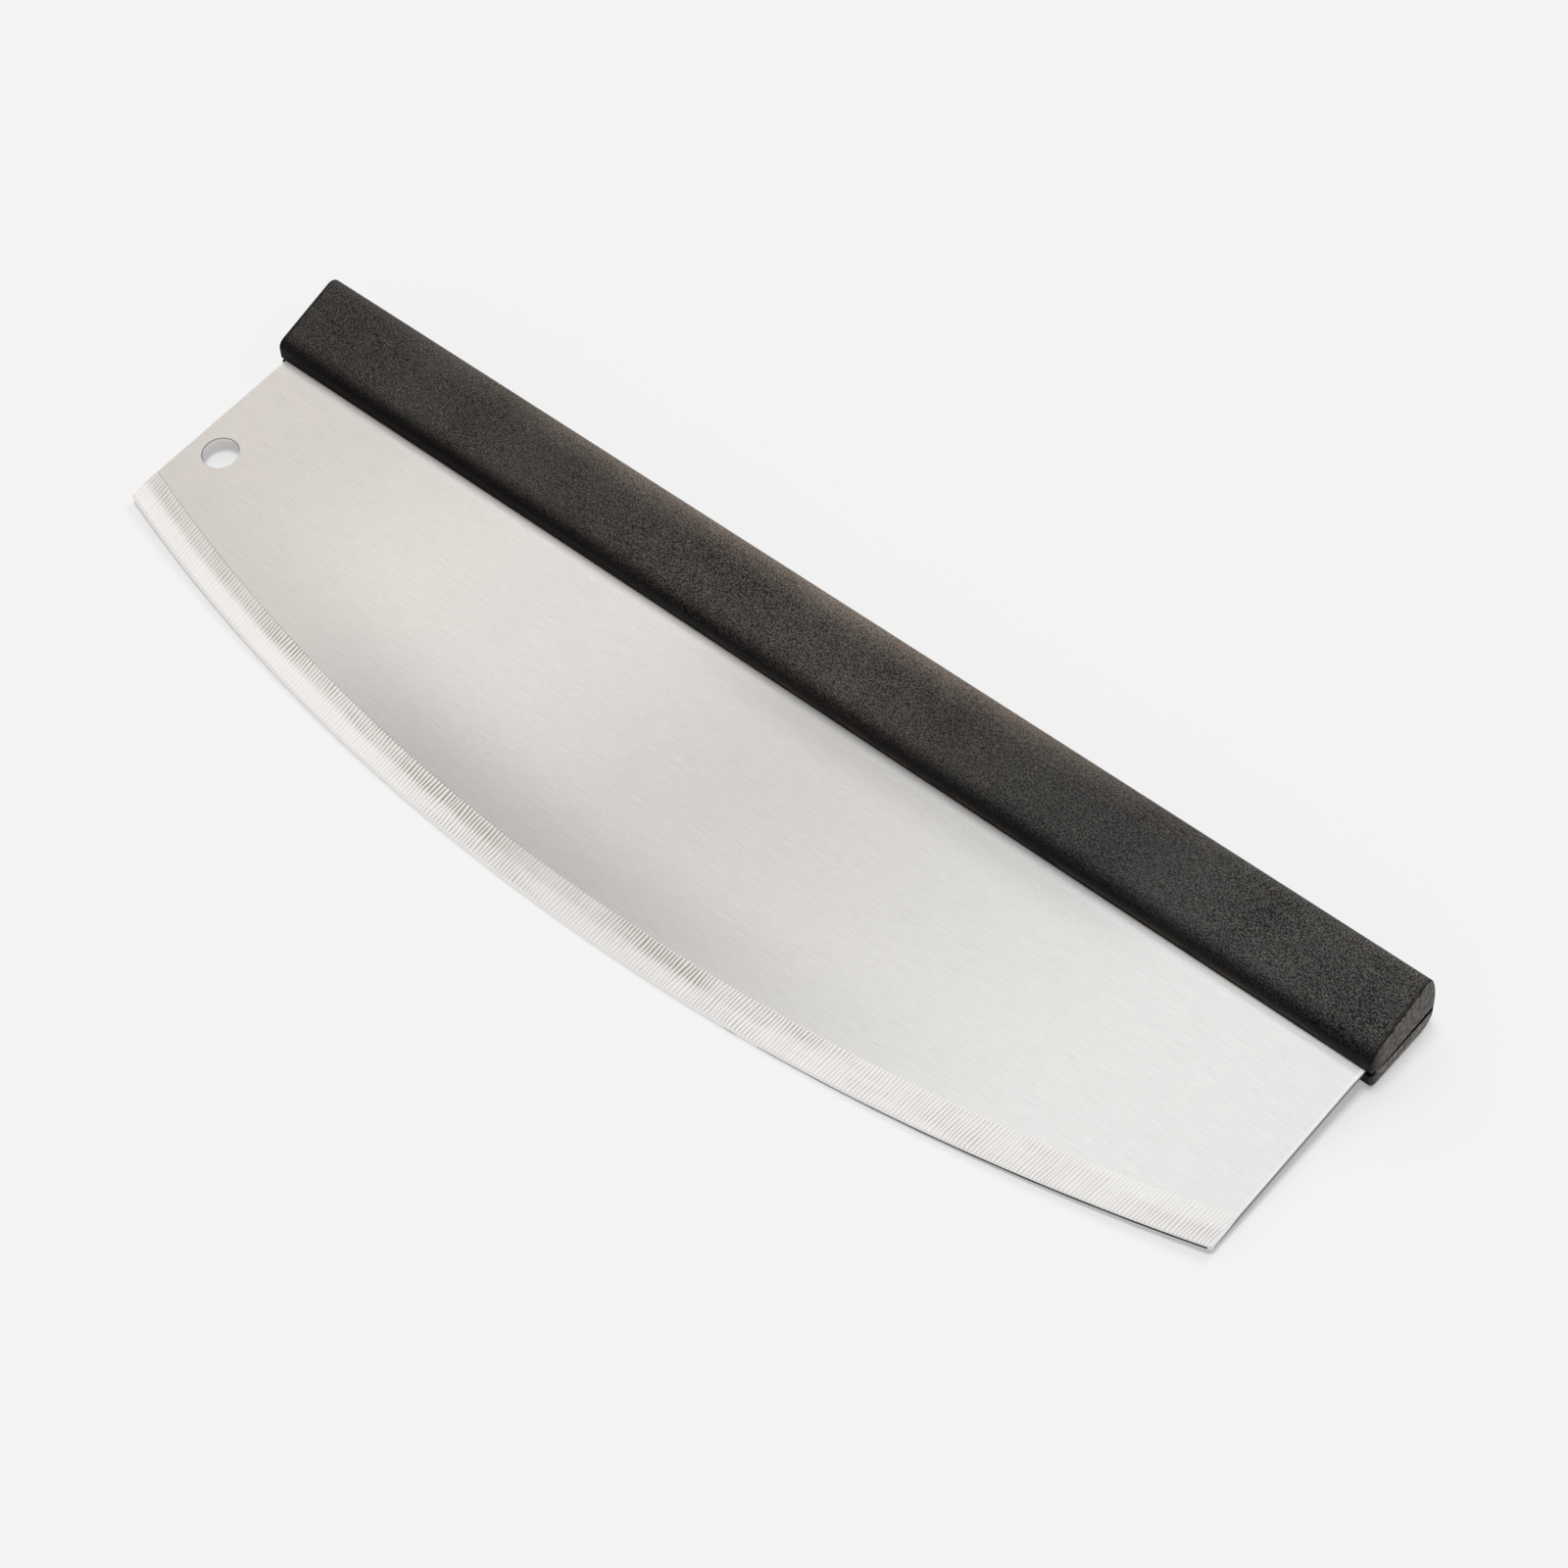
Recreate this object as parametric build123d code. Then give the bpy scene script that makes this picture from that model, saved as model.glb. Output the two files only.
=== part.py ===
from build123d import *
from math import atan, cos, degrees, radians, sin, tan
import os

# Rocking pizza knife, lying on the rear half of its handle and on its cutting edge.
#
# Every piece is drawn in the blade's own frame, in millimetres, and laid down at the end.
# In that frame X runs along the blade, Y from the cutting edge to the spine of the handle, and
# Z out of the blade's front face. Zero is the middle of the handle's foot, on that face.

# Blade
blade_length = 355.0
blade_thickness = 1.5
blade_side_height = 57.8
edge_sagitta = 26.9
bevel_width = 9.7
keen_bevel_width = 0.8
keen_bevel_thickness = 0.5
edge_land = 0.2
tip_radius = 1.5
sheet_chamfer = 0.2

# Hanging hole, placed from the blade's left side and from the foot of the handle
hole_diameter = 10.0
hole_inset = 9.1
hole_drop = 33.3

# Tang, the narrower part of the sheet inside the handle, and the shoulders below it. The margin
# is what is left between the tang's screw holes and its top.
tang_margin = 2.8
tang_step = 4.0
tang_corner_radius = 3.0
shoulder_seat = 1.2

# Both handle shells, at the seam between them
handle_overhang = 1.9
handle_width = 24.7
end_edge_radius = 0.7
shoulder_notch = 1.5
foot_wall = 2.6
end_wall = 5.6
rib_thickness = 1.6
fit_gap = 0.3

# Front shell, with heights above the blade's front face
face_height_at_foot = 5.65
face_height_at_spine = 12.3
front_end_draft = 2.2
foot_lean = 0.3
foot_edge_radius = 0.4
foot_corner_radius = 3.0
spine_lean = 1.4
spine_corner_radius = 2.8
crown_drop = 6.8
crown_bulge = 0.6
crown_flat = 0.4
spine_wall = 2.2
face_wall = 2.2

# Rear shell, with depths below the blade's rear face
rear_depth_at_foot = 5.4
rear_end_draft = 1.2
rear_foot_radius = 2.4
rear_spine_radius = 4.7
rear_floor = 1.8

# Opening that the seam shows round the spine, which closes towards the blade
seam_opening = 1.0
seam_opening_depth = 1.0
seam_opening_start = 3.0

# Screws, the outer ones set in from the ends of the handle
screw_count = 6
screw_inset = 19.3
screw_line = 10.0
screw_diameter = 3.5
screw_length = 8.0
screw_point = 0.8
head_diameter = 6.2
head_height = 2.0
head_edge_radius = 0.6
recess_width = 1.0
recess_span = 3.6
recess_depth = 1.2

# Seats of the screws in the shells
thread_gap = 0.05
pilot_spare = 0.7
boss_diameter = 7.8
pad_diameter = 10.0
web_under_head = 2.2
through_hole_diameter = 4.0
counterbore_diameter = 7.2

# How far each cutting tool runs past what it cuts
overrun = 5.0

# Places that follow from the sizes above
seam_plane = -blade_thickness / 2
rear_face = -blade_thickness
half_blade = blade_length / 2
half_tang = half_blade - tang_step
tang_hole_radius = boss_diameter / 2 + fit_gap
tang_depth = screw_line + tang_hole_radius + tang_margin
half_handle = half_blade + handle_overhang
edge_depth = blade_side_height + edge_sagitta
edge_radius = (half_blade**2 + edge_sagitta**2) / (2 * edge_sagitta)
foot_corner = (foot_lean, face_height_at_foot)
spine_corner = (handle_width - spine_lean, face_height_at_spine)
face_slope = (spine_corner[1] - foot_corner[1]) / (spine_corner[0] - foot_corner[0])
crown_point = (handle_width + crown_bulge, face_height_at_spine - crown_drop)
spine_foot = (handle_width, seam_plane)
screw_pitch = 2 * (half_handle - screw_inset) / (screw_count - 1)
screw_places = [screw_inset - half_handle + index * screw_pitch for index in range(screw_count)]
head_seat = rear_face - web_under_head

# Lying down, the knife touches the table with its underside and with the lower side of its edge,
# where the keen bevel starts
edge_underside = seam_plane - keen_bevel_thickness / 2
rest_slope = (edge_underside - rear_face + rear_depth_at_foot) / (edge_depth - keen_bevel_width)


def rounding_length(before, corner, after):
    """Length that a rounded corner takes off either of its sides, for each unit of its radius."""
    arriving = Vector(*corner) - Vector(*before)
    leaving = Vector(*after) - Vector(*corner)
    return tan(radians(arriving.get_angle(leaving)) / 2)


def crown_radius():
    """Radius of the crown's arc, which starts a short flat below the rounded spine corner."""
    side = (Vector(*crown_point) - Vector(*spine_corner)).length
    used = spine_corner_radius * rounding_length(foot_corner, spine_corner, crown_point)
    return (side - used - crown_flat) / rounding_length(spine_corner, crown_point, spine_foot)


def face_height(y):
    """Height of the front shell's sloping face."""
    return foot_corner[1] + face_slope * (y - foot_corner[0])


def underside_height(y):
    """Height of the rear shell's flat underside, which slopes away from the blade."""
    return rear_face - rear_depth_at_foot - rest_slope * y


def block(low, high):
    """Box between two opposite corners."""
    size = Vector(*high) - Vector(*low)
    centre = (Vector(*high) + Vector(*low)) / 2
    return Pos(centre.X, centre.Y, centre.Z) * Box(size.X, size.Y, size.Z)


def rod(x, y, diameter, low, high):
    """Cylinder square to the blade, between two heights."""
    return Pos(x, y, (low + high) / 2) * Cylinder(diameter / 2, high - low)


def bar(start, stop, corners):
    """Bar along the blade, whose cross-section has corners given as (y, z, radius)."""
    points = [(y, z) for y, z, radius in corners]
    radii = [radius for y, z, radius in corners]
    section = Plane.YZ * make_face(FilletPolyline(*points, radius=radii, close=True))
    return Pos(start, 0, 0) * extrude(section, amount=stop - start)


def ground_disc():
    """Disc with the blade's grind all round its rim. The blade is a piece of it."""
    half_sheet = blade_thickness / 2
    half_keen = keen_bevel_thickness / 2
    keen_start = edge_radius - keen_bevel_width
    keen_point = keen_start + keen_bevel_width * half_keen / (half_keen - edge_land / 2)
    section = Polyline(
        (0, -half_sheet),
        (edge_radius - bevel_width, -half_sheet),
        (keen_start, -half_keen),
        (keen_point, 0),
        (keen_start, half_keen),
        (edge_radius - bevel_width, half_sheet),
        (0, half_sheet),
        close=True)
    disc = revolve(Plane.XZ * make_face(section), Axis.Z)
    return Pos(0, edge_radius - edge_depth, seam_plane) * disc


def blade_outline():
    """Outline below the shoulders: square sides, one arc for the edge and two small tip radii."""
    left_tip = (-half_blade, -blade_side_height)
    right_tip = (half_blade, -blade_side_height)
    edge = ThreePointArc(left_tip, (0, -edge_depth), right_tip)
    sides = Polyline(right_tip, (half_blade, shoulder_seat), (-half_blade, shoulder_seat), left_tip)
    outline = make_face([edge, sides])
    tips = outline.vertices().sort_by(Axis.Y)[:2]
    return fillet(tips, tip_radius)


def tang_outline():
    """Outline of the tang, which overlaps the part below the shoulders."""
    corners = [(-half_tang, 0), (half_tang, 0), (half_tang, tang_depth), (-half_tang, tang_depth)]
    radii = [0, 0, tang_corner_radius, tang_corner_radius]
    return make_face(FilletPolyline(*corners, radius=radii, close=True))


def make_blade():
    """The whole steel sheet, with its grind, hanging hole and the tang's screw holes."""
    sheet = Pos(0, 0, rear_face) * extrude(blade_outline() + tang_outline(), amount=blade_thickness)
    rims = sheet.faces().sort_by(Axis.Z)[0].edges() + sheet.faces().sort_by(Axis.Z)[-1].edges()
    sheet = chamfer(rims, sheet_chamfer) & ground_disc()
    low = rear_face - overrun
    for x in screw_places:
        sheet -= rod(x, screw_line, 2 * tang_hole_radius, low, overrun)
    hole_x = hole_inset - half_blade
    sheet -= rod(hole_x, -hole_drop, hole_diameter, low, overrun)
    circles = sheet.edges().filter_by(GeomType.CIRCLE)
    hole_rims = circles.sort_by_distance((hole_x, -hole_drop, seam_plane))[:2]
    return chamfer(hole_rims, sheet_chamfer)


def lean_ends(body, draft, upwards):
    """Body cut off at both ends by faces that lean inwards, away from the seam."""
    lean = radians(draft)
    for side in (-1, 1):
        direction = (side * cos(lean), 0, upwards * sin(lean))
        end = Plane(origin=(side * half_handle, 0, seam_plane), z_dir=direction)
        body = split(body, bisect_by=end, keep=Keep.BOTTOM)
    return body


def round_ends(body, low, high):
    """Body with the rim of each end face rounded, as far as it lies between two heights."""
    rims = ShapeList()
    for end in (body.faces().sort_by(Axis.X)[0], body.faces().sort_by(Axis.X)[-1]):
        rims += end.edges().filter_by(lambda edge: low < edge.center().Z < high)
    return fillet(rims, end_edge_radius)


def blade_room(low, high):
    """Room for the tang and, out to both ends of the handle, for the blade's shoulders."""
    tang_room = block((-half_tang - fit_gap, -overrun, low),
                      (half_tang + fit_gap, tang_depth + fit_gap, high))
    shoulder_room = block((-half_handle - overrun, -overrun, low),
                          (half_handle + overrun, shoulder_notch, high))
    return tang_room + shoulder_room


def bays():
    """Hollow stretches of the handle, from one rib to the next. Every other one has a screw."""
    rib_pitch = screw_pitch / 2
    rib_count = 2 * (screw_count - 1)
    ribs = [(index - (rib_count - 1) / 2) * rib_pitch for index in range(rib_count)]
    starts = [end_wall - half_handle] + [x + rib_thickness / 2 for x in ribs]
    stops = [x - rib_thickness / 2 for x in ribs] + [half_handle - end_wall]
    return list(zip(starts, stops))


def front_outside():
    """Outside of the front shell: it stands on the blade, and its spine is crowned for the palm."""
    corners = [
        (shoulder_notch, 0, 0),
        (0, 0, foot_edge_radius),
        (*foot_corner, foot_corner_radius),
        (*spine_corner, spine_corner_radius),
        (*crown_point, crown_radius()),
        (*spine_foot, 0),
        (shoulder_notch, seam_plane, 0),
    ]
    body = lean_ends(bar(-half_handle, half_handle, corners), front_end_draft, 1)
    return round_ends(body, 0, face_height_at_spine)


def make_front_shell():
    """Front half of the handle, ribbed inside, with a blind boss for each screw."""
    inner_spine = spine_corner[0] - spine_wall
    hollow = [
        (foot_wall, seam_plane - overrun, 0),
        (foot_wall, face_height(foot_wall) - face_wall, 0),
        (inner_spine, face_height(inner_spine) - face_wall, 0),
        (inner_spine, seam_plane - overrun, 0),
    ]
    shell = front_outside() - blade_room(seam_plane - overrun, 0)
    for start, stop in bays():
        shell -= bar(start, stop, hollow)
    for x in screw_places:
        shell += rod(x, screw_line, boss_diameter, rear_face, face_height(screw_line) - face_wall / 2)
    pilot_top = head_seat + screw_length + pilot_spare
    for x in screw_places:
        shell -= rod(x, screw_line, screw_diameter + 2 * thread_gap, rear_face - overrun, pilot_top)
    return shell


def rear_outside():
    """Outside of the rear shell: flat underside, and a wide radius along the spine."""
    corners = [
        (0, seam_plane, 0),
        (0, underside_height(0), rear_foot_radius),
        (handle_width, underside_height(handle_width), rear_spine_radius),
        (handle_width, seam_plane, 0),
    ]
    body = lean_ends(bar(-half_handle, half_handle, corners), rear_end_draft, -1)
    return round_ends(body, underside_height(handle_width), seam_plane)


def seam_wedge():
    """What the seam's opening takes off the rear shell's rim, round the spine and both ends."""
    wedge = [
        (seam_opening_start, seam_plane, 0),
        (handle_width, seam_plane - seam_opening, 0),
        (handle_width + overrun, seam_plane - seam_opening, 0),
        (handle_width + overrun, seam_plane + overrun, 0),
        (seam_opening_start, seam_plane + overrun, 0),
    ]
    half_inner = half_handle - seam_opening_depth
    inner = block((-half_inner, -overrun, seam_plane - overrun),
                  (half_inner, handle_width - seam_opening_depth, seam_plane + 2 * overrun))
    return bar(-half_handle - overrun, half_handle + overrun, wedge) - inner


def make_rear_shell():
    """Rear half of the handle, with shallow pockets and a drilled pad for each screw."""
    inner_spine = handle_width - rear_spine_radius
    pocket = [
        (foot_wall, seam_plane + overrun, 0),
        (foot_wall, underside_height(foot_wall) + rear_floor, 0),
        (inner_spine, underside_height(inner_spine) + rear_floor, 0),
        (inner_spine, seam_plane + overrun, 0),
    ]
    shell = rear_outside() - blade_room(rear_face, seam_plane + overrun) - seam_wedge()
    for start, stop in bays():
        shell -= bar(start, stop, pocket)
    low = underside_height(screw_line) - overrun
    for x in screw_places:
        shell += rod(x, screw_line, pad_diameter, underside_height(screw_line) + rear_floor / 2, rear_face)
    for x in screw_places:
        shell -= rod(x, screw_line, through_hole_diameter, low, rear_face + overrun)
        shell -= rod(x, screw_line, counterbore_diameter, low, head_seat)
    return shell


def make_screw(x):
    """Self-tapping screw with a rounded pan head and a cross recess, driven from the rear."""
    tip = head_seat + screw_length
    shank = rod(x, screw_line, screw_diameter, head_seat, tip)
    point = shank.edges().sort_by(Axis.Z)[-1]
    shank = chamfer(point, screw_point)
    head = rod(x, screw_line, head_diameter, head_seat - head_height, head_seat)
    crown = head.edges().sort_by(Axis.Z)[0]
    head = fillet(crown, head_edge_radius)
    half_width = recess_width / 2
    half_span = recess_span / 2
    low = head_seat - head_height - overrun
    high = head_seat - head_height + recess_depth
    recess = block((x - half_width, screw_line - half_span, low),
                   (x + half_width, screw_line + half_span, high))
    recess += block((x - half_span, screw_line - half_width, low),
                    (x + half_span, screw_line + half_width, high))
    return shank + head - recess


def lay_down(shape):
    """Shape turned from the blade's frame on to the table, with zero under the handle's middle."""
    flat_start = rear_foot_radius
    flat_stop = handle_width - rear_spine_radius
    middle = (flat_start + flat_stop) / 2
    return Rot(degrees(atan(rest_slope)), 0, 0) * Pos(0, -middle, -underside_height(middle)) * shape


pieces = {
    "blade": make_blade(),
    "front_handle_shell": make_front_shell(),
    "rear_handle_shell": make_rear_shell(),
    "handle_screws": Compound([make_screw(x) for x in screw_places]),
}

os.makedirs("parts", exist_ok=True)
for name, piece in pieces.items():
    export_step(lay_down(piece), f"parts/{name}.step")
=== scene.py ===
import bpy
from math import atan, radians
from mathutils import Matrix, Vector


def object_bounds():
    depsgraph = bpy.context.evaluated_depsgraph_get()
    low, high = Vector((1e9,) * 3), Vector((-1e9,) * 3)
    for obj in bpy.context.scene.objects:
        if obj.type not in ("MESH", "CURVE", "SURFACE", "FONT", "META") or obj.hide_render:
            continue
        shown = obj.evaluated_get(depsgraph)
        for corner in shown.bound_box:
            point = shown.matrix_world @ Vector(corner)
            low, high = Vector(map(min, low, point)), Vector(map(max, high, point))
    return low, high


# Rocking pizza knife, lying on a pale table. Everything is in metres, in the frame of the CAD model.

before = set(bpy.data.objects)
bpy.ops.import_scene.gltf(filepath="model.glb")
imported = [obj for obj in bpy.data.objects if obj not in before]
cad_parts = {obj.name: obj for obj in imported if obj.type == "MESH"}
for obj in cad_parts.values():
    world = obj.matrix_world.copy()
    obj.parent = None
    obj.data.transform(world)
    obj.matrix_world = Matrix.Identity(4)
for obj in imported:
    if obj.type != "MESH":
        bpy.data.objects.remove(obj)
cad_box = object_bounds()

MM = 0.001


def mm(*lengths):
    """Lengths in millimetres, turned into metres."""
    return tuple(length * MM for length in lengths)


def rgb(red, green, blue):
    """Opaque colour."""
    return (red, green, blue, 1.0)


# Sizes of the knife that its materials follow. The handle is the longest piece, so the CAD box gives
# its ends, and the blade stops a little before them.
half_handle = cad_box[1].x
handle_overhang = 1.9 * MM
handle_width = 24.7 * MM
blade_thickness = 1.5 * MM
blade_side_height = 57.8 * MM
edge_sagitta = 26.9 * MM
bevel_width = 9.7 * MM
keen_bevel_width = 0.8 * MM
keen_bevel_thickness = 0.5 * MM
rear_depth_at_foot = 5.4 * MM
rear_foot_radius = 2.4 * MM
rear_spine_radius = 4.7 * MM
seam_opening = 1.0 * MM
seam_opening_start = 3.0 * MM

half_blade = half_handle - handle_overhang
edge_depth = blade_side_height + edge_sagitta
edge_radius = (half_blade**2 + edge_sagitta**2) / (2 * edge_sagitta)
seam_plane = -blade_thickness / 2

# The knife lies on the lower side of its edge and on the flat back of its handle. The frame's zero is
# the middle of that back, here in the blade's own frame.
edge_lift = (blade_thickness - keen_bevel_thickness) / 2 + rear_depth_at_foot
rest_slope = edge_lift / (edge_depth - keen_bevel_width)
back_middle = (rear_foot_radius + handle_width - rear_spine_radius) / 2
back_height = -(blade_thickness + rear_depth_at_foot + rest_slope * back_middle)

# Marks of the grinding wheel: their pitch, how they crowd towards the ends, and how they lean there
mark_pitch = 1.058 * MM
mark_crowding = 350.0
mark_lean = 2.4

# Table, and light studio around it
table_half_width = 3.0
table_colour = rgb(0.40, 0.40, 0.40)
table_backdrop = rgb(0.335, 0.335, 0.335)
studio_colour = rgb(0.30, 0.30, 0.30)
softbox_colour = rgb(0.96, 0.96, 0.96)
softbox_warm_colour = rgb(0.96, 0.93, 0.90)

# Middle of the broad light that the blade mirrors, its soft edge, and the part of it that is warm
softbox = (-0.42, 0.40, 0.815)
softbox_edge = (0.70, 0.94)
softbox_warm_stop = (-0.75, -0.25)

# Suns, with their places and the widths of their discs in degrees
suns = {
    "key": {"heading": 280.0, "elevation": 86.0, "width": 20.0, "strength": 2.4},
    "back": {"heading": 185.0, "elevation": 35.0, "width": 24.0, "strength": 1.0},
}

# Camera, as the photograph was taken, with its angles in degrees and its lens in millimetres
camera_aim = mm(19.06, -32.59, 3.97)
camera_distance = 895.2 * MM
camera_heading = 43.743
camera_elevation = 52.655
camera_roll = -3.337
sensor_width = 36.0
lens_length = 83.86


class Nodes:
    """Short way to build the nodes of one material or of the world. Below it is called n.

    A stretch is a pair of values between which something comes in or goes out.
    """

    def __init__(self, tree):
        self.tree = tree
        tree.nodes.clear()

    def add(self, kind, inputs=None, **settings):
        """One node. An input that is a socket is linked, and any other is a value."""
        made = self.tree.nodes.new(kind)
        for name, value in settings.items():
            setattr(made, name, value)
        for key, value in (inputs or {}).items():
            if isinstance(value, bpy.types.NodeSocket):
                self.tree.links.new(value, made.inputs[key])
            else:
                made.inputs[key].default_value = value
        return made

    def math(self, operation, *values):
        """Result of a Math node."""
        inputs = dict(enumerate(values))
        return self.add("ShaderNodeMath", inputs, operation=operation).outputs[0]

    def plus(self, total, *numbers):
        """Sum of numbers."""
        for number in numbers:
            total = self.math("ADD", total, number)
        return total

    def times(self, product, *numbers):
        """Product of numbers."""
        for number in numbers:
            product = self.math("MULTIPLY", product, number)
        return product

    def minus(self, first, second):
        """First number less the second."""
        return self.math("SUBTRACT", first, second)

    def opposite(self, share):
        """What a share leaves of the whole."""
        return self.minus(1.0, share)

    def zigzag(self, value):
        """One at each whole number, zero halfway to the next, and straight in between."""
        from_half = self.minus(self.math("FRACT", value), 0.5)
        return self.times(self.math("ABSOLUTE", from_half), 2.0)

    def blend(self, factor, first, second):
        """Number between two numbers, which are at sockets 2 and 3 of a Mix node."""
        return self.add("ShaderNodeMix", {0: factor, 2: first, 3: second}).outputs[0]

    def blend_colour(self, factor, first, second, how="MIX"):
        """Colour between two colours, or one laid over the other. Their sockets are 6 and 7."""
        inputs = {0: factor, 6: first, 7: second}
        made = self.add("ShaderNodeMix", inputs, data_type="RGBA", blend_type=how)
        return made.outputs[2]

    def dim(self, colour, tone):
        """Colour times a number."""
        grey = self.vector(tone, tone, tone)
        return self.blend_colour(1.0, colour, grey, "MULTIPLY")

    def paint(self, colour, *coats):
        """Colour under coats of others. Each coat is how much it covers, and its colour."""
        for cover, coat in coats:
            colour = self.blend_colour(cover, colour, coat)
        return colour

    def step(self, value, stretch):
        """Zero before a stretch, one after it, and smooth inside it."""
        low, high = stretch
        inputs = {"Value": value, "From Min": low, "From Max": high}
        made = self.add("ShaderNodeMapRange", inputs, interpolation_type="SMOOTHSTEP")
        return made.outputs[0]

    def fall(self, value, stretch):
        """One before a stretch, zero after it, and smooth inside it."""
        return self.opposite(self.step(value, stretch))

    def between(self, value, start, stop):
        """One between two stretches, zero outside them, and smooth inside them."""
        return self.times(self.step(value, start), self.fall(value, stop))

    def place(self):
        """Point of the surface, in metres."""
        return self.add("ShaderNodeTexCoord").outputs["Object"]

    def blade_place(self):
        """Place along the blade, towards the spine and out of the front, in the blade's own frame."""
        turned = {
            "Vector": self.place(),
            "Rotation": (-atan(rest_slope), 0, 0),
            "Location": (0, back_middle, back_height),
        }
        return self.parts(self.add("ShaderNodeMapping", turned).outputs[0])

    def parts(self, vector):
        """The three numbers of a vector."""
        return self.add("ShaderNodeSeparateXYZ", {0: vector}).outputs

    def vector(self, x, y, z=0.0):
        """Vector of three numbers."""
        return self.add("ShaderNodeCombineXYZ", {0: x, 1: y, 2: z}).outputs[0]

    def noise(self, vector, scale=1.0, detail=2.0, roughness=0.5):
        """Smooth noise, about 0.5 on the whole, with its scale in cells to the metre."""
        inputs = {"Vector": vector, "Scale": scale, "Detail": detail, "Roughness": roughness}
        return self.add("ShaderNodeTexNoise", inputs).outputs[0]

    def streaks(self, first, second, scales, detail=2.0, roughness=0.5):
        """Noise over two lengths, with a scale of its own along each."""
        first_scale, second_scale = scales
        place = self.vector(self.times(first, first_scale), self.times(second, second_scale))
        return self.noise(place, detail=detail, roughness=roughness)

    def surface(self, colour, roughness, height, metallic=0.0, specular=0.5):
        """Shader of the material, with the height of its relief in metres."""
        bump = self.add("ShaderNodeBump", {"Height": height, "Strength": 1.0, "Distance": 1.0})
        shader = self.add("ShaderNodeBsdfPrincipled", {
            "Base Color": colour,
            "Metallic": metallic,
            "Roughness": roughness,
            "Specular IOR Level": specular,
            "Normal": bump.outputs[0],
        })
        self.add("ShaderNodeOutputMaterial", {"Surface": shader.outputs[0]})


def new_material(name):
    """Empty material and its nodes."""
    material = bpy.data.materials.new(name)
    material.use_nodes = True
    return material, Nodes(material.node_tree)


def dress(node, material):
    """Gives a CAD node a material in all its slots."""
    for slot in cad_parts[node].material_slots:
        slot.material = material


def edge_place(n, x, y):
    """How far along the cutting edge a point is, from its middle, and how deep inside the edge."""
    rise = n.minus(edge_radius - edge_depth, y)
    radius = n.math("SQRT", n.plus(n.times(x, x), n.times(rise, rise)))
    along = n.times(n.math("ARCTAN2", x, rise), edge_radius)
    depth = n.minus(edge_radius, radius)
    return along, depth


def brushed_grain(n, x, y):
    """Fine lines along the blade, long ones and short ones, about 0.5 on the whole."""
    long_scales = (110.0, 2500.0)
    short_scales = (420.0, 3200.0)
    long_share = 0.6
    long_lines = n.streaks(x, y, long_scales, detail=3.0, roughness=0.6)
    short_lines = n.streaks(x, y, short_scales)
    return n.plus(n.times(long_lines, long_share), n.times(short_lines, 1.0 - long_share))


def painted_flat_sheen(n, x, y, depth):
    """Painted reflections on the flat: lighter on the right side, at the left end and in a band left
    of the middle.
    """
    mean_light = 0.70
    area_lean = 0.4
    band_start = mm(-150, -75)
    band_stop = mm(-50, 25)
    band_depth = mm(10, 45)
    band_gain = 0.11
    right_start = mm(20, 165)
    right_gain = 0.15
    left_stop = mm(-140, -50)
    left_gain = 0.05

    # Painted shade along the bevel, less so at the left, and fading out towards the right
    low_stop = mm(8, 34)
    low_start = mm(-120, -50)
    low_loss = (0.03, 0.15)

    slant = n.minus(x, n.times(y, area_lean))
    band = n.times(n.between(slant, band_start, band_stop), n.step(depth, band_depth), band_gain)
    right = n.step(slant, right_start)
    left = n.fall(x, left_stop)
    light = n.plus(band, n.times(right, right_gain), n.times(left, left_gain), mean_light)
    painted_low_shade = n.times(n.fall(depth, low_stop), n.opposite(right))
    return n.minus(light, n.times(painted_low_shade, n.blend(n.step(x, low_start), *low_loss)))


def flat_colour(n, x, y, depth, grain, foot_strip):
    """Colour of the flat, with painted shade close to the handle, and warmer and dimmer to the left
    as a painted reflection.
    """
    shade_start = mm(-40, 10)
    shade_stop = mm(85, 130)
    shade_height = mm(-14, -3)
    shade_loss = 0.10
    strip_loss = 0.08
    warm_stop = mm(-170, 150)
    reflected_warm_steel = rgb(0.946, 0.903, 0.870)
    plain_steel = rgb(1.0, 0.99, 0.975)
    mean_grain = 0.5
    grain_contrast = 0.42

    below_middle = n.between(x, shade_start, shade_stop)
    shade = n.times(n.step(y, shade_height), below_middle, shade_loss)
    foot_shade = n.plus(shade, n.times(foot_strip, strip_loss))
    sheen = n.minus(painted_flat_sheen(n, x, y, depth), foot_shade)
    grain_tone = n.plus(n.times(n.minus(grain, mean_grain), grain_contrast), 1.0)
    steel = n.blend_colour(n.fall(x, warm_stop), plain_steel, reflected_warm_steel)
    return n.dim(steel, n.times(sheen, grain_tone))


def wheel_marks(n, along, depth):
    """Marks of the grinding wheel, side by side along the edge and leaning more towards its ends.

    Gives where the mark through a point starts, how far the point is from the mark's middle towards
    the ridge beside it, and the fine lines inside the mark.
    """
    wander_scales = (160.0, 60.0)
    wander_size = 2.0
    fine_scales = (3000.0, 90.0)

    start = n.times(along, n.opposite(n.times(depth, mark_lean)))
    wander = n.times(n.streaks(start, depth, wander_scales), wander_size)
    crowding = n.times(start, start, mark_crowding)
    count = n.plus(n.math("DIVIDE", start, mark_pitch), n.plus(crowding, wander))
    ridge = n.zigzag(count)
    fine_lines = n.streaks(start, depth, fine_scales)
    return start, ridge, fine_lines


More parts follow.
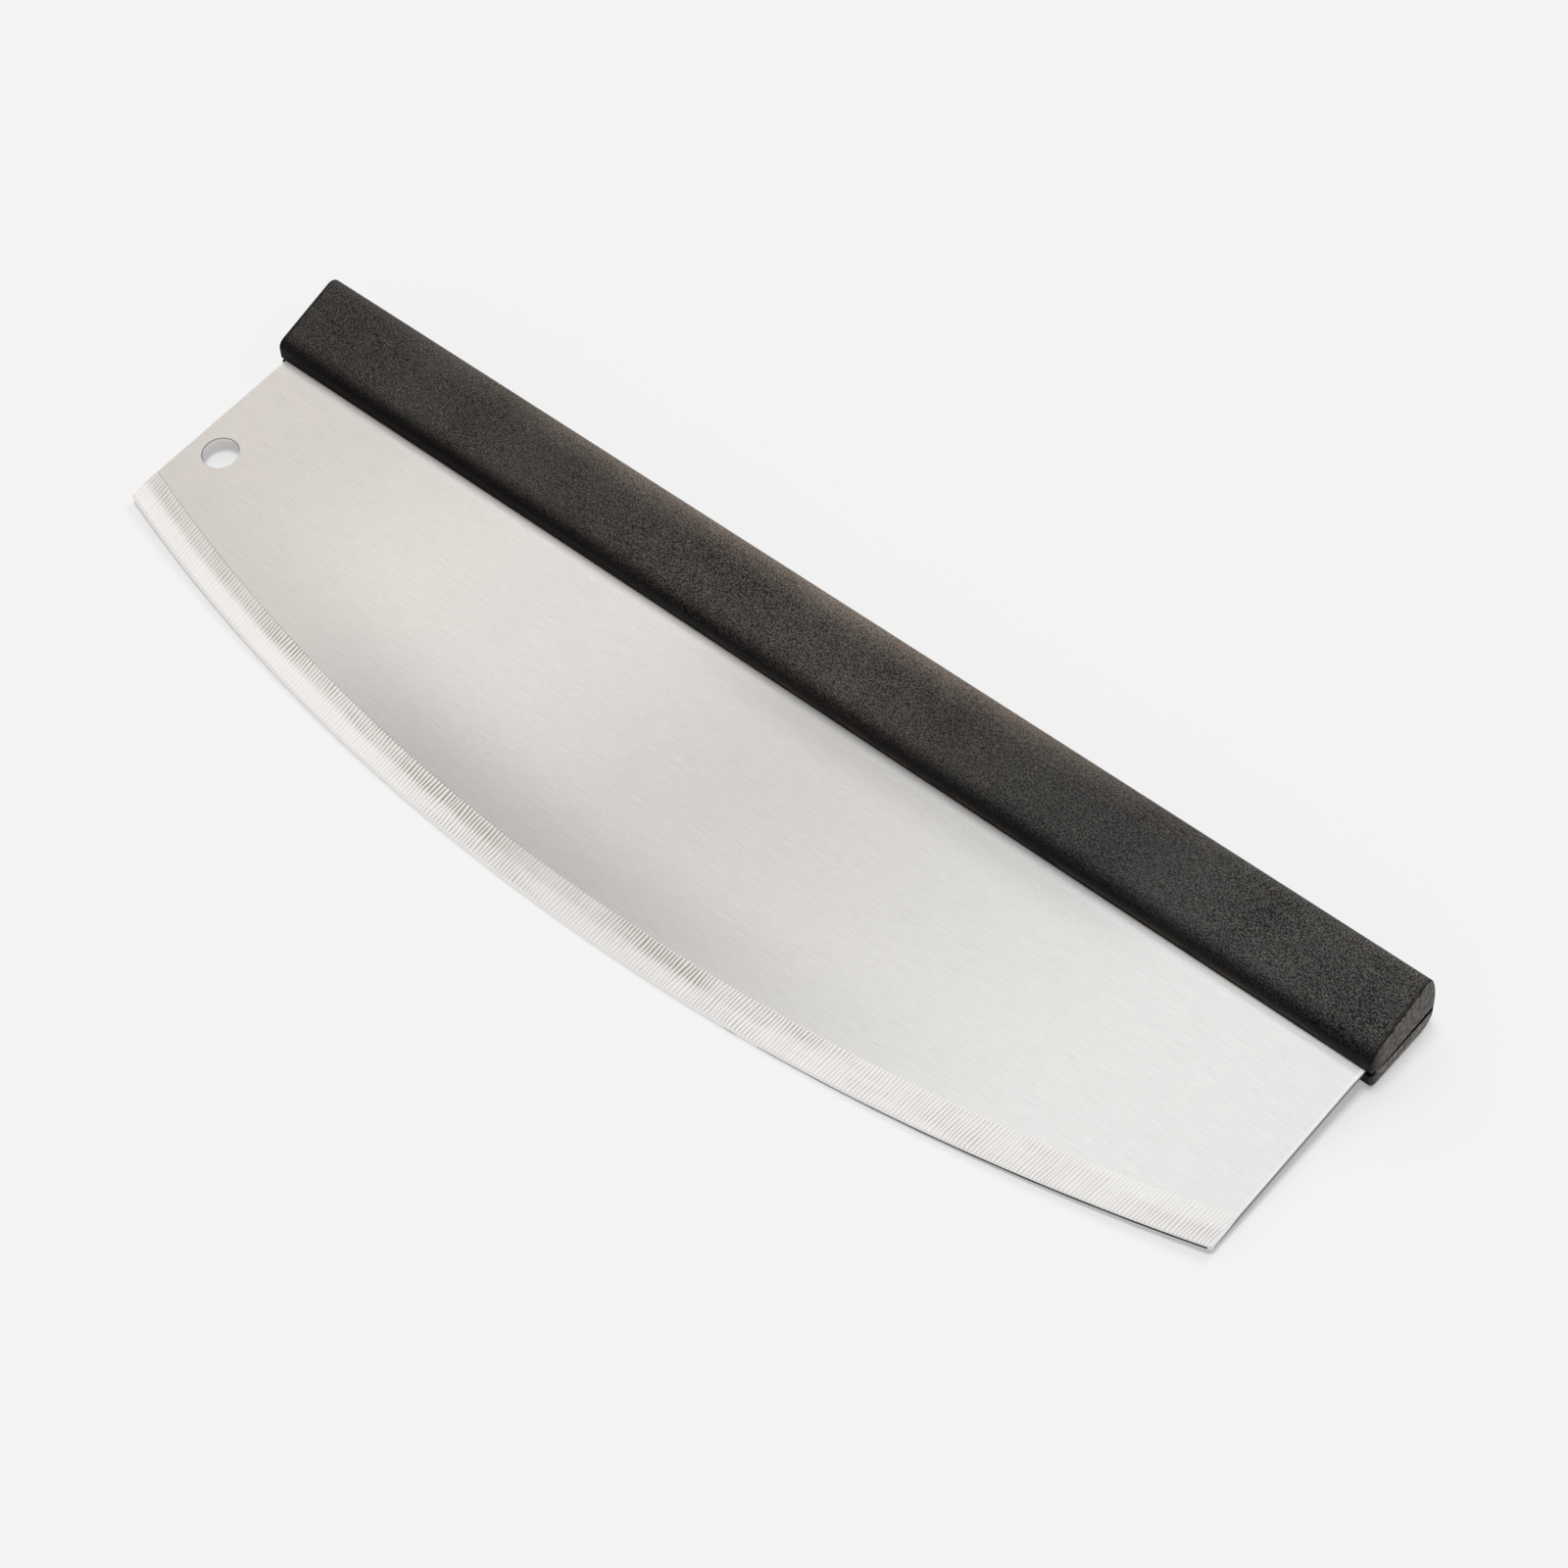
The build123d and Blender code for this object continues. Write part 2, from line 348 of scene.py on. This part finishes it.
def mark_tone(n, along, depth, marks, deep, inside):
    """Tone of the wheel marks, which are deepest in two stretches and patchy everywhere."""
    ridge_levels = (0.2, 0.8)
    patch_scales = (30.0, 110.0)
    patch_levels = (0.38, 0.66)
    patch_gain = (0.6, 1.3)
    fine_gain = (0.6, 1.4)
    outer_start = mm(-75, -45)
    outer_tone = (0.15, 0.48)
    inner_tone = 0.40
    deep_tone = 0.47
    faint_start = mm(130, 165)
    faint_loss = 0.2

    start, ridge, fine_lines = marks
    faint = n.times(n.step(along, faint_start), faint_loss)
    outer = n.blend(n.step(along, outer_start), *outer_tone)
    inner = n.minus(n.plus(n.times(deep, deep_tone), inner_tone), faint)
    patches = n.streaks(start, depth, patch_scales, detail=3.0, roughness=0.6)
    patch = n.blend(n.step(patches, patch_levels), *patch_gain)
    strength = n.times(n.blend(inside, outer, inner), patch)
    return n.times(n.step(ridge, ridge_levels), strength, n.blend(fine_lines, *fine_gain))


def bevel_colour(n, along, depth, marks, left_side):
    """Colour of the bevel: pale, with the wheel marks and broad shades along the edge."""
    pale_steel = rgb(1.0, 0.99, 0.97)
    dark_steel = rgb(0.42, 0.385, 0.355)
    inner_half = mm(3.9, 6.6)
    deep_left_start = mm(-125, -105)
    deep_left_stop = mm(-40, -15)
    left_tone = (0.26, 0.11)
    deep_right_start = mm(5, 25)
    deep_right_stop = mm(60, 95)
    right_tone = 0.06
    middle_start = mm(-45, -10)
    middle_stop = mm(15, 60)
    middle_tone = (0.11, 0.17)

    inside = n.step(depth, inner_half)
    deep_left = n.between(along, deep_left_start, deep_left_stop)
    deep_right = n.between(along, deep_right_start, deep_right_stop)
    deep = n.plus(deep_left, deep_right)
    left_shade = n.times(left_side, n.blend(deep_left, *left_tone))
    shade = n.plus(left_shade, n.times(deep_right, right_tone))
    middle = n.between(along, middle_start, middle_stop)
    tone = n.plus(
        mark_tone(n, along, depth, marks, deep, inside),
        n.times(shade, inside),
        n.times(middle, n.blend(inside, *middle_tone)),
    )
    return n.blend_colour(tone, pale_steel, dark_steel)


def bevel_area(n, depth, ridge, left_side):
    """One on the bevel and zero on the flat. The wheel marks scallop the limit between them."""
    scallop_depth = mm(0.45, 0.12)
    left_narrowing = 0.25 * MM
    softness = 0.15 * MM
    scallop = n.times(ridge, n.blend(left_side, *scallop_depth))
    inner = n.plus(depth, scallop, n.times(left_side, left_narrowing))
    return n.fall(inner, (bevel_width, bevel_width + softness))


def crease_line(n, depth, left_side):
    """Dark line along the inner limit of the bevel, on the left."""
    line_start = mm(9.1, 9.35)
    line_stop = mm(9.45, 9.7)
    cover = 0.3
    return n.times(n.between(depth, line_start, line_stop), n.times(left_side, cover))


def painted_foot_shadow(n, x, y):
    """Painted contact shadow on the blade close to the foot of the handle, less of it at the right.
    """
    height = mm(-1.9, -0.2)
    thinning = mm(95, 150)
    cover = (0.38, 0.10)
    return n.times(n.step(y, height), n.blend(n.step(x, thinning), *cover))


def keen_bevel_and_edge_shade(n, along, depth):
    """Bright keen bevel, and a dark line of painted shade on the edge itself that widens towards the
    right.
    """
    softness = 0.1 * MM
    line_start = mm(40, 150)
    line_width = 0.3 * MM
    keen_colour = rgb(0.99, 0.98, 0.97)
    shade_line_colour = rgb(0.02, 0.02, 0.02)
    keen = n.fall(depth, (keen_bevel_width, keen_bevel_width + softness))
    line = n.math("LESS_THAN", depth, n.times(n.step(along, line_start), line_width))
    return (keen, keen_colour), (line, shade_line_colour)


def right_side_highlight_and_shade(n, x):
    """Painted highlight on the rim and painted shade on the wall of the blade's right side."""
    rim_width = 1.0 * MM
    wall_depth = 0.03 * MM
    rim_highlight_colour = rgb(0.88, 0.89, 0.90)
    wall_shade_colour = rgb(0.12, 0.13, 0.15)
    rim = n.math("GREATER_THAN", x, half_blade - rim_width)
    wall = n.math("GREATER_THAN", x, half_blade - wall_depth)
    return (rim, rim_highlight_colour), (wall, wall_shade_colour)


def blade_steel():
    """Stainless sheet brushed along the spine, with a bevel ground across the edge."""
    left_side_stop = mm(-40, 30)
    foot_strip_height = mm(-5, -0.8)
    foot_strip_dullness = 0.85
    crease_colour = rgb(0.2, 0.19, 0.18)
    # Colour of the painted contact shadow by the handle's foot
    foot_shadow_colour = rgb(0.03, 0.027, 0.025)
    flat_roughness = (0.15, 0.25)
    bevel_roughness = (0.22, 0.36)
    grain_height = 0.004 * MM
    ridge_height = 0.02 * MM
    fine_height = 0.01 * MM

    material, n = new_material("brushed_blade_steel")
    x, y, _ = n.blade_place()
    along, depth = edge_place(n, x, y)
    left_side = n.fall(along, left_side_stop)
    grain = brushed_grain(n, x, y)
    marks = wheel_marks(n, along, depth)
    _, ridge, fine_lines = marks
    bevel = bevel_area(n, depth, ridge, left_side)

    # Strip along the foot of the handle, made less metallic, which the flat's colour also darkens as
    # painted shade
    foot_strip = n.step(y, foot_strip_height)
    metallic = n.opposite(n.times(foot_strip, foot_strip_dullness))

    colour = n.paint(
        flat_colour(n, x, y, depth, grain, foot_strip),
        (bevel, bevel_colour(n, along, depth, marks, left_side)),
        (crease_line(n, depth, left_side), crease_colour),
        (painted_foot_shadow(n, x, y), foot_shadow_colour),
        *keen_bevel_and_edge_shade(n, along, depth),
        *right_side_highlight_and_shade(n, x),
    )
    bevel_gloss = n.blend(fine_lines, *bevel_roughness)
    roughness = n.blend(bevel, n.blend(grain, *flat_roughness), bevel_gloss)
    bevel_relief = n.plus(n.times(ridge, ridge_height), n.times(fine_lines, fine_height))
    height = n.blend(bevel, n.times(grain, grain_height), bevel_relief)
    n.surface(colour, roughness, height, metallic)
    return material


def sanded_tone(n, point, grain):
    """Light and dark grains of the plastic, with a faint cloudiness."""
    sand_levels = (0.42, 0.60)
    sand_share = 0.78
    cloud_levels = (0.3, 0.7)
    sand = n.step(grain, sand_levels)
    cloud = n.step(n.noise(point, scale=28.0, detail=3.0, roughness=0.55), cloud_levels)
    return n.plus(n.times(sand, sand_share), n.times(cloud, 1.0 - sand_share))


def grain_colour(n, x):
    """Colour of the light grains, warmer to the left."""
    warm_stop = mm(20, 110)
    warm_grey = rgb(0.086, 0.078, 0.0695)
    neutral_grey = rgb(0.083, 0.0795, 0.075)
    return n.blend_colour(n.step(x, warm_stop), warm_grey, neutral_grey)


def bright_specks(n, point):
    """Single grains that shine."""
    levels = (0.66, 0.76)
    cover = 0.85
    colour = rgb(0.16, 0.15, 0.135)
    specks = n.step(n.noise(point, scale=2000.0, detail=1.0), levels)
    return n.times(specks, cover), colour


def dark_stretches(n, x):
    """Left end and a stretch right of the middle, where the face is darker."""
    left_stop = mm(-85, -35)
    left_cover = 0.27
    right_start = mm(15, 50)
    right_stop = mm(100, 150)
    right_cover = 0.28
    colour = rgb(0.002, 0.002, 0.002)
    left = n.times(n.fall(x, left_stop), left_cover)
    right = n.times(n.between(x, right_start, right_stop), right_cover)
    return n.math("MAXIMUM", right, left), colour


def spine_highlight(n, x, y, z, tone):
    """Painted highlight on the rounded spine, paler in the middle of its length."""
    spine_start = mm(15, 25)
    front_start = mm(3, 11)
    middle_start = mm(-170, -20)
    middle_stop = mm(10, 130)
    cover = (0.05, 0.75)
    highlight_dark_grain = rgb(0.090, 0.072, 0.059)
    highlight_light_grain = rgb(0.26, 0.21, 0.17)
    spine = n.times(n.step(y, spine_start), n.step(z, front_start))
    middle = n.between(x, middle_start, middle_stop)
    colour = n.blend_colour(tone, highlight_dark_grain, highlight_light_grain)
    return n.times(spine, n.blend(middle, *cover)), colour


def lit_end_faces(n, point, x, z):
    """Pale, coarse end faces of both shells in painted light, with a dark line of painted shade
    around them.
    """
    line_start = mm(0.5, 0.8)
    line_stop = mm(1.2, 1.8)
    line_cover = 0.6
    shade_line_colour = rgb(0.004, 0.003, 0.003)
    face_stop = mm(0.55, 0.75)
    face_cover = 0.7
    coarse_levels = (0.36, 0.66)
    front_lit_tones = (rgb(0.06, 0.052, 0.046), rgb(0.27, 0.245, 0.22))
    rear_lit_tones = (rgb(0.11, 0.096, 0.085), rgb(0.48, 0.435, 0.39))

    inset = n.minus(half_handle, n.math("ABSOLUTE", x))
    line = n.between(inset, line_start, line_stop)
    face = n.fall(inset, face_stop)
    coarse = n.step(n.noise(point, scale=900.0, roughness=0.6), coarse_levels)
    front_colour = n.blend_colour(coarse, *front_lit_tones)
    rear_colour = n.blend_colour(coarse, *rear_lit_tones)
    lit_face_colour = n.blend_colour(n.math("LESS_THAN", z, seam_plane), front_colour, rear_colour)
    return (n.times(line, line_cover), shade_line_colour), (n.times(face, face_cover), lit_face_colour)


def dark_foot(n, x, y):
    """How much the foot of the handle is in the dark, which is a little less to the right."""
    height = mm(0.4, 5.5)
    left_stop = mm(-110, -20)
    cover = (0.85, 0.72)
    return n.times(n.fall(y, height), n.blend(n.step(x, left_stop), *cover))


def foot_highlight(n, x, y, z):
    """Painted highlight in a patchy pale line along the foot's front, above the blade."""
    scales = (90.0, 700.0)
    levels = (0.36, 0.6)
    right_start = mm(-60, 0)
    line_start = mm(0.8, 1.3)
    line_stop = mm(1.7, 2.9)
    foot_stop = mm(2, 3)
    cover = 0.8
    colour = rgb(0.075, 0.062, 0.054)
    highlight_patches = n.step(n.streaks(x, z, scales, detail=3.0), levels)
    line = n.between(z, line_start, line_stop)
    line = n.times(n.step(x, right_start), line, n.fall(y, foot_stop))
    return n.times(highlight_patches, line, cover), colour


def seam_gap_shade(n, y, z):
    """Painted shade inside the gap between the shells, which opens towards the spine, and a painted
    shadow on its lower lip.
    """
    lip_margin = 0.1 * MM
    seam_margin = 0.01 * MM
    shadow_start = mm(0.5, 7)
    shadow_depth = 0.8 * MM
    opening_slope = seam_opening / (handle_width - seam_opening_start)
    opened = n.times(n.minus(y, seam_opening_start), opening_slope)
    shadow = n.times(n.step(y, shadow_start), shadow_depth)
    lip = n.minus(n.minus(seam_plane - lip_margin, opened), shadow)
    above_lip = n.math("GREATER_THAN", z, lip)
    below_seam = n.math("LESS_THAN", z, seam_plane - seam_margin)
    return n.times(above_lip, below_seam)


def handle_plastic():
    """Charcoal plastic from a finely sanded mould."""
    pit_colour = rgb(0.001, 0.001, 0.001)
    foot_colour = rgb(0.002, 0.001, 0.001)
    # Colour of the painted shade in the gap between the shells
    gap_shade_colour = rgb(0.002, 0.002, 0.002)
    roughness_range = (0.5, 0.68)
    specular_range = (0.26, 0.05)
    grain_height = 0.045 * MM

    material, n = new_material("sanded_handle_plastic")
    point = n.place()
    x, y, z = n.blade_place()
    grain = n.noise(point, scale=2500.0, roughness=0.6)
    tone = sanded_tone(n, point, grain)
    foot = dark_foot(n, x, y)
    gap_shade = seam_gap_shade(n, y, z)
    colour = n.paint(
        pit_colour,
        (tone, grain_colour(n, x)),
        bright_specks(n, point),
        dark_stretches(n, x),
        spine_highlight(n, x, y, z, tone),
        *lit_end_faces(n, point, x, z),
        (foot, foot_colour),
        foot_highlight(n, x, y, z),
        (gap_shade, gap_shade_colour),
    )
    roughness = n.blend(grain, *roughness_range)
    specular = n.times(n.opposite(gap_shade), n.blend(foot, *specular_range))
    n.surface(colour, roughness, n.times(grain, grain_height), specular=specular)
    return material


def screw_steel():
    """Zinc plated steel, a little uneven."""
    dark_zinc = rgb(0.42, 0.42, 0.43)
    light_zinc = rgb(0.66, 0.66, 0.67)
    roughness_range = (0.25, 0.42)
    cloud_height = 0.02 * MM

    material, n = new_material("zinc_plated_screws")
    cloud = n.noise(n.place(), scale=900.0, detail=3.0, roughness=0.6)
    colour = n.blend_colour(cloud, dark_zinc, light_zinc)
    roughness = n.blend(cloud, *roughness_range)
    n.surface(colour, roughness, n.times(cloud, cloud_height), metallic=1.0)
    return material


def table_material():
    """Pale to the camera and in mirrors, while the light that falls on it still shows shadows."""
    material, n = new_material("pale_table")
    lit = n.add("ShaderNodeBsdfDiffuse", {"Color": table_colour}).outputs[0]
    pale = n.add("ShaderNodeEmission", {"Color": table_backdrop, "Strength": 1.0}).outputs[0]
    none = n.add("ShaderNodeEmission", {"Strength": 0.0}).outputs[0]
    ray = n.add("ShaderNodeLightPath").outputs
    seen = n.math("MAXIMUM", ray["Is Camera Ray"], ray["Is Glossy Ray"])
    lift = n.add("ShaderNodeMixShader", {0: seen, 1: none, 2: pale}).outputs[0]
    surface = n.add("ShaderNodeAddShader", {0: lit, 1: lift}).outputs[0]
    n.add("ShaderNodeOutputMaterial", {"Surface": surface})
    return material


def make_floor():
    """Table top, around the frame's zero."""
    far = table_half_width
    mesh = bpy.data.meshes.new("floor")
    corners = [(-far, -far, 0), (far, -far, 0), (far, far, 0), (-far, far, 0)]
    mesh.from_pydata(corners, [], [(0, 1, 2, 3)])
    mesh.materials.append(table_material())
    floor = bpy.data.objects.new("floor", mesh)
    bpy.context.collection.objects.link(floor)


def make_world():
    """Grey studio with a broad white light, warm at its left."""
    world = bpy.data.worlds.new("studio")
    bpy.context.scene.world = world
    world.use_nodes = True
    n = Nodes(world.node_tree)
    direction = n.add("ShaderNodeTexCoord").outputs["Generated"]
    towards = n.add("ShaderNodeVectorMath", {0: direction, 1: softbox}, operation="DOT_PRODUCT")
    warm_side = n.fall(n.parts(direction)["X"], softbox_warm_stop)
    light = n.blend_colour(warm_side, softbox_colour, softbox_warm_colour)
    inside = n.step(towards.outputs["Value"], softbox_edge)
    colour = n.blend_colour(inside, studio_colour, light)
    background = n.add("ShaderNodeBackground", {"Color": colour, "Strength": 1.0})
    n.add("ShaderNodeOutputWorld", {"Surface": background.outputs[0]})


def looking_down(heading, elevation):
    """Turn of a lamp or a camera that looks down from a heading and an elevation, in degrees."""
    tilt = Matrix.Rotation(radians(90.0 - elevation), 4, "X")
    return Matrix.Rotation(radians(heading), 4, "Z") @ tilt


def add_sun(name, heading, elevation, width, strength):
    """Soft, even light from far away, which doesn't show in the steel."""
    light = bpy.data.lights.new(name, "SUN")
    light.energy = strength
    light.angle = radians(width)
    lamp = bpy.data.objects.new(name, light)
    lamp.visible_glossy = False
    lamp.matrix_world = looking_down(heading, elevation)
    bpy.context.collection.objects.link(lamp)


def make_camera():
    """Camera at the photograph's place."""
    data = bpy.data.cameras.new("camera")
    data.sensor_width = sensor_width
    data.lens = lens_length
    camera = bpy.data.objects.new("camera", data)
    turn = looking_down(camera_heading, camera_elevation)
    place = Vector(camera_aim) + turn @ Vector((0, 0, camera_distance))
    roll = Matrix.Rotation(radians(camera_roll), 4, "Z")
    camera.matrix_world = Matrix.Translation(place) @ turn @ roll
    bpy.context.collection.objects.link(camera)
    bpy.context.scene.camera = camera


dress("blade", blade_steel())
plastic = handle_plastic()
dress("front_handle_shell", plastic)
dress("rear_handle_shell", plastic)
dress("handle_screws", screw_steel())

make_floor()
make_world()
for sun, settings in suns.items():
    add_sun(sun, **settings)
make_camera()

bpy.context.scene.view_settings.view_transform = "Standard"
